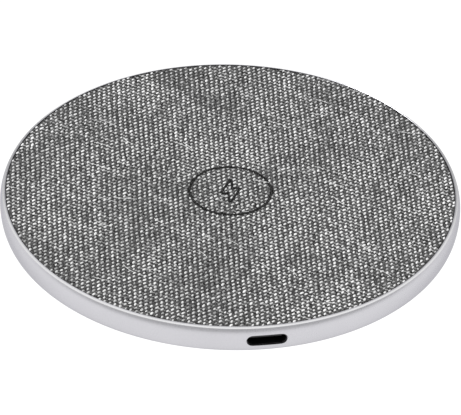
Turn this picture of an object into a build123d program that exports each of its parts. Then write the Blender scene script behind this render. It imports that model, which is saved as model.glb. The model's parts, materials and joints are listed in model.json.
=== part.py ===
from build123d import *
import math
import os

# Wireless charging pad. Millimetres, +Z up, origin at the middle of the underside on the resting
# plane, charging port facing -Y. A turned metal ring is clamped between a top plate, which carries
# the fabric and the coil, and a base plate; four screws hidden under the foot pull them together.

# ---- outside ----
pad_dia = 100.0
pad_height = 7.0
foot_standoff = 0.8          # ring and base stand this far clear of the table

# ---- ring section ----
rim_chamfer_width = 0.6      # bright cut around the top edge
rim_chamfer_drop = 0.25
rim_lean = 0.55              # the side leans out this far below the cut
widest_drop = 2.5            # widest line, below the top edge
under_round_width = 1.2      # the side rounds in this far down to the underside
base_seat_wall = 0.85        # metal outside the base plate at the underside
clamp_ledge_width = 1.6      # inner flange that the two plates clamp

# ---- top stack ----
fabric_thickness = 0.4
fabric_gap = 0.15            # dark line between the fabric and the ring
fabric_edge_round = 0.25
film_thickness = 0.1         # each adhesive layer
film_setback = 0.3           # adhesive stops this far inside the edge it holds
top_plate_thickness = 0.9
plate_clearance = 0.1        # plates inside their seats

# ---- pressed mark on the fabric: a ring around the outline of a plain charging bolt ----
mark_ring_radius = 9.2
mark_line = 0.62
mark_depth = 0.12
bolt_line = 0.42
bolt_height = 7.6            # inside the groove
bolt_width = 3.9
bolt_step_height = 0.5       # the two side steps stand this far above and below the middle
bolt_tip_shift = 0.6         # tips, off the middle line
bolt_step_shift = 0.3        # inner ends of the side steps, off the middle line

# ---- base ----
base_thickness = 1.2
foot_border = 3.85           # base plate left showing outside the foot
foot_width = 14.0
foot_recess_depth = 0.4
foot_clearance = 0.1
foot_edge_round = 0.3
base_edge_chamfer = 0.2
rib_angles = (25, 70, 90, 110, 155)
rib_thickness = 1.0
rib_inner_gap = 2.0          # ribs start this far outside the ferrite
rib_outer_gap = 1.35         # and stop this far inside the ring
rib_clearance = 0.2

# ---- fasteners ----
boss_angles = (45, 135, 225, 315)
boss_dia = 4.4
base_screw_dia = 2.0
base_screw_head_dia = 3.4
base_screw_length = 3.8
board_screw_inset = 6.0      # from the board's inner edge
board_screw_angles = (195, 270, 345)
board_screw_dia = 1.6
board_screw_head_dia = 3.0
board_screw_head_height = 0.6
board_screw_length = 2.0
post_dia = 4.6
thread_clearance = 0.05
hole_clearance = 0.1
head_clearance = 0.05
pilot_extra = 0.2            # pilot holes run this far past the screw's tip
drive_width = 0.4
drive_depth = 0.3

# ---- coil and ferrite ----
coil_outer_radius = 25.0
coil_inner_radius = 10.25
coil_turns = 10
coil_turn_gap = 0.155
coil_thickness = 1.0
ferrite_margin = 1.0         # ferrite beyond the coil
ferrite_thickness = 0.8
lead_slot_width = 5.0        # channel for the wires that cross under the coil
foam_setback = 6.0           # foam stops this far inside the ferrite
coil_lead_dia = 0.7
coil_lead_bend = 0.45
coil_lead_offset = 1.4       # each coil lead runs this far to one side of the port's centre line
coil_lead_step = 1.35        # the outer lead turns down this far outside the last turn's middle
lead_landing = 2.6           # length of wire that lies on the board
thermistor_dia = 3.0
thermistor_height = 1.0
thermistor_round = 0.35
thermistor_lead_dia = 0.4
thermistor_lead_xs = (-0.45, 0.35)
thermistor_lead_bend = 0.8
thermistor_drop_ys = (-3.4, -5.2)  # the leads slope down from the bead into the channel between these

# ---- circuit board ----
board_thickness = 0.8
board_drop = 0.24            # board's top face below the middle of the port, which is set into it
board_gap = 1.5              # board outside the ferrite
board_edge_clearance = 0.75
board_back_y = 8.0
boss_hole_clearance = 0.3

# ---- charging port ----
port_drop = 3.16             # port centre below the top edge
port_slot_width = 8.65
port_slot_height = 2.6
port_wall = 0.85             # metal left in front of the receptacle
port_gap = 0.05
shell_width = 8.94
shell_height = 3.16
shell_wall = 0.3
shell_length = 7.35
shell_clearance = 0.1
ear_reach = 1.0
ear_length = 0.8
ear_thickness = 0.25
ear_setbacks = (0.6, 2.4)    # from the receptacle's rear
peg_width = 0.4
peg_length = 0.7
insulator_length = 2.0
tongue_width = 6.69
tongue_thickness = 0.7
tongue_setback = 0.75        # tongue tip behind the mouth
contact_count = 12
contact_pitch = 0.5
contact_width = 0.28
contact_thickness = 0.06
contact_length = 3.8
tail_length = 0.8
tail_thickness = 0.15

# ---- components: length along the radius, width across it, height; then where the middle stands:
# how far out from the board's inner edge, and the angle ----
controller_size = (5.0, 5.0, 0.85)
controller_place = (9.5, 250.0)
pin_mark_radius = 0.3
pin_mark_inset = 0.8         # pin-one dimple, in from the chip's corner
pin_mark_depth = 0.1
mosfet_size = (3.3, 3.3, 0.85)
mosfet_insets = (4.0, 9.0)
mosfet_angles = (284.0, 293.0)
sense_resistor_size = (3.2, 1.6, 0.6)
sense_resistor_place = (14.0, 290.0)
diode_size = (1.7, 1.3, 0.9)
diode_place = (15.0, 256.5)
inductor_size = (5.0, 5.0, 1.5)
inductor_place = (10.5, 329.0)
inductor_corner = 0.8
inductor_pad_length = 0.8
inductor_pad_thickness = 0.06
resonant_cap_size = (4.5, 3.2, 1.3)
resonant_cap_inset = 10.5
resonant_cap_angles = (188.5, 196.0, 203.5, 211.0)
input_cap_size = (3.2, 2.5, 1.4)
input_cap_inset = 15.1
input_cap_angles = (239.0, 244.5, 250.0)
cap_end_length = 0.5
decoupling_cap_size = (1.0, 0.5, 0.5)
decoupling_cap_inset = 3.0
decoupling_cap_angles = tuple(236.0 + 3.0 * k for k in range(7))
chip_resistor_size = (1.0, 0.5, 0.35)
chip_resistor_inset = 5.1
chip_resistor_angles = tuple(238.0 + 2.4 * k for k in range(10))

# ---- levels and radii that follow ----
pad_radius = pad_dia / 2
ring_bottom = foot_standoff
rim_bore_radius = pad_radius - rim_lean - rim_chamfer_width
under_radius = pad_radius - under_round_width
base_seat_radius = under_radius - base_seat_wall
ring_inner_radius = base_seat_radius - clamp_ledge_width
base_radius = base_seat_radius - plate_clearance
foot_outer_radius = base_radius - foot_border
foot_inner_radius = foot_outer_radius - foot_width
boss_circle_radius = (foot_inner_radius + foot_outer_radius) / 2
base_top = ring_bottom + base_thickness
recess_top = ring_bottom + foot_recess_depth
fabric_radius = rim_bore_radius - fabric_gap
fabric_bottom = pad_height - fabric_thickness
top_plate_top = fabric_bottom - film_thickness
top_plate_bottom = top_plate_top - top_plate_thickness
top_plate_radius = rim_bore_radius - plate_clearance
coil_wire_width = (coil_outer_radius - coil_inner_radius - coil_turns * coil_turn_gap) / (coil_turns + 1)
coil_top = top_plate_bottom - film_thickness
coil_bottom = coil_top - coil_thickness
ferrite_top = coil_bottom - film_thickness
ferrite_bottom = ferrite_top - ferrite_thickness
ferrite_radius = coil_outer_radius + ferrite_margin
foam_radius = ferrite_radius - foam_setback
rib_inner_radius = ferrite_radius + rib_inner_gap
rib_outer_radius = ring_inner_radius - rib_outer_gap
port_z = pad_height - port_drop
board_top = port_z - board_drop
board_bottom = board_top - board_thickness
board_inner_radius = ferrite_radius + board_gap
board_radius = ring_inner_radius - board_edge_clearance
board_screw_radius = board_inner_radius + board_screw_inset
pocket_y = -(pad_radius - port_wall)
mouth_y = pocket_y + port_gap
shell_rear_y = mouth_y + shell_length
insulator_front_y = shell_rear_y - insulator_length
base_screw_head_height = (base_screw_head_dia - base_screw_dia) / 2
base_pilot_radius = base_screw_dia / 2 + thread_clearance
board_pilot_radius = board_screw_dia / 2 + thread_clearance
board_screw_tip = board_top - board_screw_length
lead_end_y = -(board_inner_radius + lead_landing)
overcut = 1.0                # cutting tools run this far past what they cut


def tube(outer, inner, bottom, top):
    """A round tube about Z between two heights."""
    height = top - bottom
    low = (Align.CENTER, Align.CENTER, Align.MIN)
    wall = Cylinder(outer, height, align=low) - Cylinder(inner, height, align=low)
    return Pos(0, 0, bottom) * wall


def disc(radius, bottom, top):
    """A round plate about Z between two heights."""
    return Pos(0, 0, bottom) * Cylinder(radius, top - bottom, align=(Align.CENTER, Align.CENTER, Align.MIN))


def block(x0, x1, y0, y1, z0, z1):
    """A box between two corners."""
    return Pos((x0 + x1) / 2, (y0 + y1) / 2, (z0 + z1) / 2) * Box(x1 - x0, y1 - y0, z1 - z0)


def around(shape, radius, angles):
    """Copies of a shape on a circle, each turned so that its own +X points outwards."""
    return [Rot(0, 0, angle) * Pos(radius, 0, 0) * shape for angle in angles]


def on_circle(shape, radius, angles):
    """The same copies joined into one set, to add to a plate or to cut from it."""
    copies = around(shape, radius, angles)
    joined = copies[0]
    for copy in copies[1:]:
        joined = joined + copy
    return joined


def lead_slot(bottom, top):
    """Cutter for the channel that runs from the coil's middle towards the port."""
    half = lead_slot_width / 2
    return block(-half, half, -(ferrite_radius + overcut), 0, bottom - overcut, top + overcut)


def wire(points, dia, bend):
    """Round wire along straight runs joined by bends."""
    path = FilletPolyline(*points, radius=bend)
    start = Plane(origin=path @ 0, z_dir=path % 0)
    return sweep(start * Circle(dia / 2), path=path)


def slot_bar(width, height, y0, y1):
    """Bar of the port's rounded section, running along Y between two places."""
    section = Plane(origin=(0, y0, port_z), x_dir=(1, 0, 0), z_dir=(0, 1, 0)) * SlotOverall(width, height)
    return extrude(section, amount=y1 - y0)


# ---- casing ----
def housing_ring():
    chamfer_outer = rim_bore_radius + rim_chamfer_width
    chamfer_bottom = pad_height - rim_chamfer_drop
    widest_z = pad_height - widest_drop
    upper_side = TangentArc((pad_radius, widest_z), (chamfer_outer, chamfer_bottom), tangent=(0, 1))
    lower_side = EllipticalCenterArc(
        (under_radius, widest_z), under_round_width, widest_z - ring_bottom, start_angle=270, arc_size=90
    )
    inside = Polyline(
        (chamfer_outer, chamfer_bottom),
        (rim_bore_radius, pad_height),
        (rim_bore_radius, top_plate_bottom),
        (ring_inner_radius, top_plate_bottom),
        (ring_inner_radius, base_top),
        (base_seat_radius, base_top),
        (base_seat_radius, ring_bottom),
        (under_radius, ring_bottom),
    )
    section = make_face([upper_side, inside, lower_side])
    ring = revolve(Plane.XZ * section, Axis.Z)
    reach = shell_width / 2 + shell_clearance
    pocket_floor = port_z - shell_height / 2 - shell_clearance
    pocket_back = -(ring_inner_radius - clamp_ledge_width)
    pocket = block(-reach, reach, pocket_y, pocket_back, pocket_floor, top_plate_bottom)
    slot = slot_bar(port_slot_width, port_slot_height, -(pad_radius + overcut), pocket_y + overcut)
    return ring - pocket - slot


def bolt_outline():
    """Plain charging bolt, pointing down towards the port."""
    tip = bolt_height / 2
    half = bolt_width / 2
    return make_face(
        Polyline(
            (bolt_tip_shift, tip),
            (-half, -bolt_step_height),
            (-bolt_step_shift, -bolt_step_height),
            (-bolt_tip_shift, -tip),
            (half, bolt_step_height),
            (bolt_step_shift, bolt_step_height),
            close=True,
        )
    )


def fabric_cover():
    cover = disc(fabric_radius, fabric_bottom, pad_height)
    cover = fillet(cover.edges().group_by(Axis.Z)[-1], fabric_edge_round)
    mark_floor = pad_height - mark_depth
    ring_mark = tube(mark_ring_radius, mark_ring_radius - mark_line, mark_floor, pad_height + overcut)
    bolt = bolt_outline()
    bolt_groove = offset(bolt, amount=bolt_line) - bolt
    bolt_mark = extrude(Pos(0, 0, mark_floor) * bolt_groove, amount=mark_depth + overcut)
    return cover - ring_mark - bolt_mark


def fabric_adhesive():
    return disc(fabric_radius - film_setback, top_plate_top, fabric_bottom)


def top_plate():
    plate = disc(top_plate_radius, top_plate_bottom, top_plate_top)
    bosses = on_circle(disc(boss_dia / 2, base_top, top_plate_bottom), boss_circle_radius, boss_angles)
    pilot_top = recess_top + base_screw_length + pilot_extra
    pilots = on_circle(disc(base_pilot_radius, base_top, pilot_top), boss_circle_radius, boss_angles)
    return plate + bosses - pilots


def screw_seat():
    """Countersunk clearance hole for a base screw, with its mouth at the foot recess."""
    shank = base_screw_dia / 2 + hole_clearance
    head = base_screw_head_dia / 2 + head_clearance
    hole = disc(shank, recess_top, base_top + overcut)
    cone = Pos(0, 0, recess_top) * Cone(
        head, shank, head - shank, align=(Align.CENTER, Align.CENTER, Align.MIN)
    )
    return hole + cone


def base_plate():
    plate = disc(base_radius, ring_bottom, base_top)
    plate = chamfer(plate.edges().group_by(Axis.Z)[0], base_edge_chamfer)
    plate = plate - tube(foot_outer_radius, foot_inner_radius, ring_bottom - overcut, recess_top)
    plate = plate - on_circle(screw_seat(), boss_circle_radius, boss_angles)
    posts = on_circle(disc(post_dia / 2, base_top, board_bottom), board_screw_radius, board_screw_angles)
    pilot_bottom = board_screw_tip - pilot_extra
    pilot = disc(board_pilot_radius, pilot_bottom, board_bottom)
    rib_middle = (rib_inner_radius + rib_outer_radius) / 2
    rib_length = rib_outer_radius - rib_inner_radius
    rib = block(-rib_length / 2, rib_length / 2, -rib_thickness / 2, rib_thickness / 2,
                base_top, top_plate_bottom - rib_clearance)
    ribs = on_circle(rib, rib_middle, rib_angles)
    return plate + posts + ribs - on_circle(pilot, board_screw_radius, board_screw_angles)


def foot_adhesive():
    return tube(foot_outer_radius - film_setback, foot_inner_radius + film_setback,
                recess_top - film_thickness, recess_top)


def foot_ring():
    ring = tube(foot_outer_radius - foot_clearance, foot_inner_radius + foot_clearance,
                0, recess_top - film_thickness)
    return fillet(ring.edges().group_by(Axis.Z)[0], foot_edge_round)


def base_screws():
    head_radius = base_screw_head_dia / 2
    shank_radius = base_screw_dia / 2
    low = (Align.CENTER, Align.CENTER, Align.MIN)
    head = Cone(head_radius, shank_radius, base_screw_head_height, align=low)
    screw = head + Cylinder(shank_radius, base_screw_length, align=low)
    screw = screw - cross_drive(0)
    return around(Pos(0, 0, recess_top) * screw, boss_circle_radius, boss_angles)


def cross_drive(face_z):
    """Cross recess cut up from a screw head's face."""
    arm = base_screw_dia
    cross = Box(arm, drive_width, drive_depth) + Box(drive_width, arm, drive_depth)
    return Pos(0, 0, face_z + drive_depth / 2) * cross


# ---- charging coil ----
def transmitter_coil():
    """One flat spiral of half-turns, each a little larger than the last, ends on the port side."""
    pitch = (coil_outer_radius - coil_inner_radius - coil_wire_width) / coil_turns
    shift = pitch / 4
    middle = coil_inner_radius + coil_wire_width / 2 + shift
    half_wire = coil_wire_width / 2
    inner_arcs = []
    outer_arcs = []
    for half_turn in range(2 * coil_turns):
        side = 1 if half_turn % 2 else -1
        centre = (side * shift, 0)
        radius = middle + half_turn * pitch / 2
        start = 180 if half_turn % 2 else 0
        inner_arcs.append(CenterArc(centre, radius - half_wire, start, arc_size=180))
        outer_arcs.append(CenterArc(centre, radius + half_wire, start, arc_size=180))
    first_cap = Line(inner_arcs[0] @ 0, outer_arcs[0] @ 0)
    last_cap = Line(inner_arcs[-1] @ 1, outer_arcs[-1] @ 1)
    outline = make_face([*inner_arcs, *outer_arcs, first_cap, last_cap])
    return Rot(0, 0, -90) * extrude(Pos(0, 0, coil_bottom) * outline, amount=coil_thickness)


def coil_leads():
    """The coil's two ends: one crosses under the turns in the ferrite's channel, one steps down outside."""
    wire_z = (coil_top + coil_bottom) / 2
    rest_z = board_top + coil_lead_dia / 2
    inner_y = -(coil_inner_radius + coil_wire_width / 2)
    outer_y = -(coil_outer_radius - coil_wire_width / 2)
    step_y = outer_y - coil_lead_step
    side = coil_lead_offset
    inner = [
        (0, inner_y, wire_z),
        (-side, inner_y, wire_z),
        (-side, inner_y, rest_z),
        (-side, lead_end_y, rest_z),
    ]
    outer = [
        (0, outer_y, wire_z),
        (side, outer_y, wire_z),
        (side, step_y, wire_z),
        (side, step_y, rest_z),
        (side, lead_end_y, rest_z),
    ]
    return [wire(points, coil_lead_dia, coil_lead_bend) for points in (inner, outer)]


def coil_adhesive():
    return tube(coil_outer_radius, coil_inner_radius, coil_top, top_plate_bottom)


def ferrite_adhesive():
    ring = tube(coil_outer_radius, coil_inner_radius, ferrite_top, coil_bottom)
    return ring - lead_slot(ferrite_top, coil_bottom)


def ferrite_shield():
    return disc(ferrite_radius, ferrite_bottom, ferrite_top) - lead_slot(ferrite_bottom, ferrite_top)


def foam_pad():
    return disc(foam_radius, base_top, ferrite_bottom) - lead_slot(base_top, ferrite_bottom)


def thermistor():
    bead = disc(thermistor_dia / 2, top_plate_bottom - thermistor_height, top_plate_bottom)
    return fillet(bead.edges().group_by(Axis.Z)[0], thermistor_round)


def thermistor_leads():
    bead_z = top_plate_bottom - thermistor_height / 2
    rest_z = board_top + thermistor_lead_dia / 2
    drop_start, drop_end = thermistor_drop_ys
    leads = []
    for x in thermistor_lead_xs:
        near_x = abs(x) - thermistor_lead_dia / 2
        start = -math.sqrt((thermistor_dia / 2) ** 2 - near_x**2)
        ends = [(x, drop_end, rest_z), (x, lead_end_y, rest_z)]
        points = [(x, start, bead_z), (x, drop_start, bead_z), *ends]
        leads.append(wire(points, thermistor_lead_dia, thermistor_lead_bend))
    return leads


# ---- circuit board and what stands on it ----
def circuit_board():
    board = tube(board_radius, board_inner_radius, board_bottom, board_top)
    far = board_radius + overcut
    board = board - block(-far, far, board_back_y, far, board_bottom - overcut, board_top + overcut)
    notch = shell_width / 2 + shell_clearance
    board = board - block(-notch, notch, -far, shell_rear_y + shell_clearance,
                          board_bottom - overcut, board_top + overcut)
    boss_hole = disc(boss_dia / 2 + boss_hole_clearance, board_bottom - overcut, board_top + overcut)
    screw_hole = disc(board_screw_dia / 2 + hole_clearance, board_bottom - overcut, board_top + overcut)
    board = board - on_circle(boss_hole, boss_circle_radius, boss_angles)
    board = board - on_circle(screw_hole, board_screw_radius, board_screw_angles)
    for x, y in peg_places():
        half_x = peg_width / 2 + hole_clearance
        half_y = peg_length / 2 + hole_clearance
        board = board - block(x - half_x, x + half_x, y - half_y, y + half_y,
                              board_bottom - overcut, board_top + overcut)
    return board


def board_screws():
    low = (Align.CENTER, Align.CENTER, Align.MIN)
    shank = Cylinder(board_screw_dia / 2, board_screw_length, align=low)
    head = Cylinder(board_screw_head_dia / 2, board_screw_head_height, align=low)
    screw = Pos(0, 0, board_screw_tip) * shank + Pos(0, 0, board_top) * head
    drive = Pos(0, 0, board_top + board_screw_head_height - drive_depth) * cross_drive(0)
    return around(screw - drive, board_screw_radius, board_screw_angles)


def chips(size, inset, angles):
    """Plain bodies standing on the board, one at each angle."""
    length, width, height = size
    body = block(-length / 2, length / 2, -width / 2, width / 2, board_top, board_top + height)
    return around(body, board_inner_radius + inset, angles)


def capped_chips(size, end_length, inset, angles):
    """Chip parts with a metal cap at each end: returns the bodies and the caps."""
    length, width, height = size
    radius = board_inner_radius + inset
    body_half = length / 2 - end_length
    body = block(-body_half, body_half, -width / 2, width / 2, board_top, board_top + height)
    inner_cap = block(-length / 2, -body_half, -width / 2, width / 2, board_top, board_top + height)
    outer_cap = block(body_half, length / 2, -width / 2, width / 2, board_top, board_top + height)
    caps = around(inner_cap, radius, angles) + around(outer_cap, radius, angles)
    return around(body, radius, angles), caps


def controller_chip():
    inset, angle = controller_place
    length, width, height = controller_size
    chip = chips(controller_size, inset, [angle])[0]
    mark_x = board_inner_radius + inset + length / 2 - pin_mark_inset
    mark_y = width / 2 - pin_mark_inset
    mark = disc(pin_mark_radius, board_top + height - pin_mark_depth, board_top + height + overcut)
    return chip - Rot(0, 0, angle) * Pos(mark_x, mark_y, 0) * mark


def bridge_mosfets():
    inner_inset, outer_inset = mosfet_insets
    return chips(mosfet_size, inner_inset, mosfet_angles) + chips(mosfet_size, outer_inset, mosfet_angles)


def power_inductor():
    inset, angle = inductor_place
    length, width, height = inductor_size
    body_bottom = board_top + inductor_pad_thickness
    body = block(-length / 2, length / 2, -width / 2, width / 2, body_bottom, board_top + height)
    body = fillet(body.edges().filter_by(Axis.Z), inductor_corner)
    return around(body, board_inner_radius + inset, [angle])


def inductor_terminals():
    inset, angle = inductor_place
    radius = board_inner_radius + inset
    length, width, _ = inductor_size
    inner = length / 2 - inductor_pad_length
    half = width / 2 - inductor_corner
    first = block(-length / 2, -inner, -half, half, board_top, board_top + inductor_pad_thickness)
    second = block(inner, length / 2, -half, half, board_top, board_top + inductor_pad_thickness)
    return around(first, radius, [angle]) + around(second, radius, [angle])


# ---- charging port receptacle ----
def ear_places():
    """Middle of each solder ear along Y, on both sides of the shell."""
    return [shell_rear_y - setback - ear_length / 2 for setback in ear_setbacks]


def peg_places():
    """Middle of each ear's peg, where it drops through the board."""
    x = shell_width / 2 + ear_reach - peg_width / 2 - hole_clearance
    return [(side * x, y) for side in (-1, 1) for y in ear_places()]


def usb_shell():
    shell = slot_bar(shell_width, shell_height, mouth_y, shell_rear_y)
    inside = slot_bar(shell_width - 2 * shell_wall, shell_height - 2 * shell_wall,
                      mouth_y - overcut, shell_rear_y + overcut)
    inner_x = shell_width / 2 - shell_wall
    outer_x = shell_width / 2 + ear_reach
    for side in (-1, 1):
        for y in ear_places():
            low_x, high_x = sorted((side * inner_x, side * outer_x))
            shell = shell + block(low_x, high_x, y - ear_length / 2, y + ear_length / 2,
                                  board_top, board_top + ear_thickness)
    for x, y in peg_places():
        shell = shell + block(x - peg_width / 2, x + peg_width / 2, y - peg_length / 2, y + peg_length / 2,
                              board_bottom, board_top)
    return shell - inside


def usb_tongue():
    block_width = shell_width - 2 * shell_wall
    block_height = shell_height - 2 * shell_wall
    rear = slot_bar(block_width, block_height, insulator_front_y, shell_rear_y)
    tip_y = mouth_y + tongue_setback
    half = tongue_thickness / 2
    tongue = block(-tongue_width / 2, tongue_width / 2, tip_y, insulator_front_y,
                   port_z - half, port_z + half)
    tongue = chamfer(tongue.edges().group_by(Axis.Y)[0].filter_by(Axis.X), half / 2)
    return rear + tongue


def usb_contacts():
    first_x = -contact_pitch * (contact_count - 1) / 2
    half = contact_width / 2
    face = tongue_thickness / 2
    front_y = insulator_front_y - contact_length
    pieces = []
    for index in range(contact_count):
        x = first_x + index * contact_pitch
        upper_z = port_z + face
        lower_z = port_z - face
        pieces.append(block(x - half, x + half, front_y, insulator_front_y,
                            upper_z, upper_z + contact_thickness))
        pieces.append(block(x - half, x + half, front_y, insulator_front_y,
                            lower_z - contact_thickness, lower_z))
        pieces.append(block(x - half, x + half, shell_rear_y, shell_rear_y + tail_length,
                            board_top, board_top + tail_thickness))
    return pieces


def save(name, shape):
    if isinstance(shape, (list, tuple)):
        shape = Compound(children=list(shape))
    export_step(shape, f"parts/{name}.step")


def main():
    os.makedirs("parts", exist_ok=True)
    resonant_caps, resonant_ends = capped_chips(
        resonant_cap_size, cap_end_length, resonant_cap_inset, resonant_cap_angles
    )
    input_caps, input_ends = capped_chips(
        input_cap_size, cap_end_length, input_cap_inset, input_cap_angles
    )
    sense_inset, sense_angle = sense_resistor_place
    diode_inset, diode_angle = diode_place
    nodes = {
        "housing_ring": housing_ring(),
        "fabric_cover": fabric_cover(),
        "fabric_adhesive": fabric_adhesive(),
        "top_plate": top_plate(),
        "base_plate": base_plate(),
        "base_screws": base_screws(),
        "foot_adhesive": foot_adhesive(),
        "foot_ring": foot_ring(),
        "coil_adhesive": coil_adhesive(),
        "transmitter_coil": transmitter_coil(),
        "coil_leads": coil_leads(),
        "ferrite_adhesive": ferrite_adhesive(),
        "ferrite_shield": ferrite_shield(),
        "foam_pad": foam_pad(),
        "thermistor": thermistor(),
        "thermistor_leads": thermistor_leads(),
        "circuit_board": circuit_board(),
        "board_screws": board_screws(),
        "usb_shell": usb_shell(),
        "usb_tongue": usb_tongue(),
        "usb_contacts": usb_contacts(),
        "controller_chip": controller_chip(),
        "bridge_mosfets": bridge_mosfets(),
        "sense_resistor": chips(sense_resistor_size, sense_inset, [sense_angle]),
        "protection_diode": chips(diode_size, diode_inset, [diode_angle]),
        "power_inductor": power_inductor(),
        "inductor_terminals": inductor_terminals(),
        "resonant_capacitors": resonant_caps,
        "resonant_capacitor_ends": resonant_ends,
        "input_capacitors": input_caps,
        "input_capacitor_ends": input_ends,
        "decoupling_capacitors": chips(decoupling_cap_size, decoupling_cap_inset, decoupling_cap_angles),
        "chip_resistors": chips(chip_resistor_size, chip_resistor_inset, chip_resistor_angles),
    }
    for name, shape in nodes.items():
        save(name, shape)


main()
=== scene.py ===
import json
import math

import bmesh
import bpy
import numpy as np
from mathutils import Matrix, Vector


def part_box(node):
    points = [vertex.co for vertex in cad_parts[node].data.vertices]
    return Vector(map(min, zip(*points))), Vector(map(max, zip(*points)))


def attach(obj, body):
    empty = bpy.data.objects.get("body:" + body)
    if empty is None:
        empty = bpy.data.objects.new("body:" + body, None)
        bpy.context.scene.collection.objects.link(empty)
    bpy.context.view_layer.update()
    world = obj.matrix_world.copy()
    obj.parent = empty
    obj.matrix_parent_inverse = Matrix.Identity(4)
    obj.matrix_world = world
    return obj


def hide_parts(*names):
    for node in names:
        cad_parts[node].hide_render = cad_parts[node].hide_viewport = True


# Round wireless charging pad: woven grey cloth in a satin aluminium ring with a bright-cut rim.
# Metres throughout. Places come from the frame; sizes that the frame doesn't hold are named here.

MM = 0.001
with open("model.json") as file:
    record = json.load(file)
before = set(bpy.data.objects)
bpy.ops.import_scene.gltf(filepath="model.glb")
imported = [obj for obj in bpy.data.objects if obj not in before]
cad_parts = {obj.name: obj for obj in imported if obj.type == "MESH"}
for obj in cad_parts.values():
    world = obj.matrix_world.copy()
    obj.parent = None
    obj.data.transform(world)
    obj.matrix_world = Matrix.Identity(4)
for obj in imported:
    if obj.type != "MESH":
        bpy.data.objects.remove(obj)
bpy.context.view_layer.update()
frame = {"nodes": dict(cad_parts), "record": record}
NODES = frame["nodes"]

# ---- ring ----
RING_LOW, RING_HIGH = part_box("housing_ring")
RING_RADIUS = RING_HIGH.x
RIM_CHAMFER_WIDTH = 0.6 * MM     # the rim's slope, from the bore outwards
RIM_CHAMFER_DROP = 0.25 * MM
PLAIN_SHARE = 0.38               # inner part of the rim's slope that the bright cut leaves satin
RIM_LEAN = 0.55 * MM             # how far the rim stands inside the ring's widest line
WIDEST_DROP = 2.5 * MM           # the widest line lies this far below the rim
UNDER_ROUND_WIDTH = 1.2 * MM
BASE_SEAT_WALL = 0.85 * MM
LEDGE_WIDTH = 1.6 * MM           # inner ledge, between the top plate and the base plate
EDGE_BREAK = 0.05 * MM
RING_SEGMENTS = 720
SIDE_STEPS = 8
SHARP_ANGLE = math.radians(18)   # edges that turn by more than this stay crisp

# ---- port ----
SLOT_WIDTH = 8.65 * MM
SLOT_HEIGHT = 2.6 * MM
SLOT_EDGE = 0.12 * MM            # broken edge round the slot's mouth
SLOT_RUN = 2.0 * MM              # the cutter runs this far out of the ring's side and into it
PORT_STEPS = 16
POCKET_SIDE = 0.4 * MM           # room left round the receptacle behind the front wall
POCKET_FRONT = 0.05 * MM
POCKET_FLOOR = 0.1 * MM

# ---- cloth ----
CLOTH_LOW, CLOTH_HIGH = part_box("fabric_cover")
CLOTH_RADIUS = CLOTH_HIGH.x
CLOTH_TOP = CLOTH_HIGH.z
CLOTH_BOTTOM = CLOTH_LOW.z
EDGE_ROLL = 0.55 * MM            # width of the turned-down edge
EDGE_DROP = 0.07 * MM
CLOTH_SEGMENTS = 384
CLOTH_FINE = 0.15 * MM           # spacing of the mesh's rings over the mark
CLOTH_MIDDLE_RINGS = 40
EDGE_RINGS = 6

# ---- mark pressed into the cloth ----
MARK_RADIUS = 9.12 * MM          # outside of the ring line; its groove slopes out to 9.2 mm
MARK_LINE = 0.465 * MM
MARK_MIDDLE = MARK_RADIUS - MARK_LINE / 2
MARK_DEPTH = 0.12 * MM
MARK_STEPS = 128
MARK_REGION = 9.6 * MM           # the mark and its slopes lie inside this radius
BOLT_HEIGHT = 7.6 * MM
BOLT_WIDTH = 3.9 * MM
BOLT_STEP = 0.5 * MM             # the bolt's side points lie this far above and below its middle
BOLT_TIP_SHIFT = 0.6 * MM
BOLT_STEP_SHIFT = 0.3 * MM
BOLT_LINE = 0.42 * MM
BOLT_REGION = (6.0 * MM, 6.3 * MM)   # between these radii the line's width changes to the ring's
CORNER_STEPS = 5
GROOVE_SLOPE = 0.15 * MM
PRESS_SPAN = (0.92, 1.1)         # floats are flattened up to here, in half-widths of the line
LINE_FILL = 0.96                 # share of its groove's width that the fused yarn takes up
LINE_DIP = 0.07 * MM             # how far the middle of a pressed line lies below its edges
LINE_BODY = 0.1 * MM
LINE_SINK = 0.02 * MM            # the line's edges lie this far below the tops of the floats

# ---- weave ----
COLUMN_PITCH = 1.096 * MM
FLOAT_PITCH = 1.236 * MM         # from one light float to the next along a column
WEAVE_ANGLE = math.radians(-6.5)
WEAVE_SKEW = math.radians(0.44)
FLOAT_HEIGHT = 0.14 * MM         # how far the yarns stand above the cloth's ground
FLOAT_MARGIN = 0.05 * MM         # the last floats' middles lie this far inside the cloth's edge
LIGHT_GRAIN = (0.46 * MM, 0.285 * MM, 0.15 * MM)      # half-length, half-width, height
DARK_GRAIN = (0.4 * MM, 0.19 * MM, 0.1 * MM)
GRAIN_SIDES = 6
GRAIN_RINGS = 4
GRAIN_SIZES = (0.75, 1.15)       # smallest and largest float, as shares of the grain above
GRAIN_HEIGHTS = (0.8, 1.0)
LIGHT_TURN = math.radians(-37)
DARK_TURN = math.radians(62)
TURN_JITTER = 0.3
LIGHT_SEED = 3
DARK_SEED = 7
LIGHT_SHIFT = (0.0, 0.0)         # the yarn's place in the weave, in columns and floats
DARK_SHIFT = (0.5, -0.25)
JITTER = 0.09 * MM
MESS_SCALE = 70.0                # patches where the yarns lie less evenly
MESS_NOISE = (0.35, 0.65)
MESS = (0.35, 1.7)               # share of the jitter in the neatest and the messiest patch
WANDER = 0.12 * MM               # slow sideways drift of the columns
WANDER_SCALE = 45.0
TONE_RANGE = 0.3                 # from float to float; tone 0 is the yarn's darkest, 1 its palest
LIGHT_MESS_TONE = 0.0
DARK_MESS_TONE = 0.1             # the dark yarn shows paler where it lies less evenly
STREAK_ACROSS = 0.83             # streaks along a column: noise places per column and per metre
STREAK_ALONG = 210.0
STREAK_TONE = 0.16
STREAK_STRETCH = 1.35            # floats in the palest streaks are this much longer
STRETCH_SPAN = (0.5, 0.75)
RIB_ACROSS = 0.71                # faint slanted ribs: turns of tone per column and per float
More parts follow.
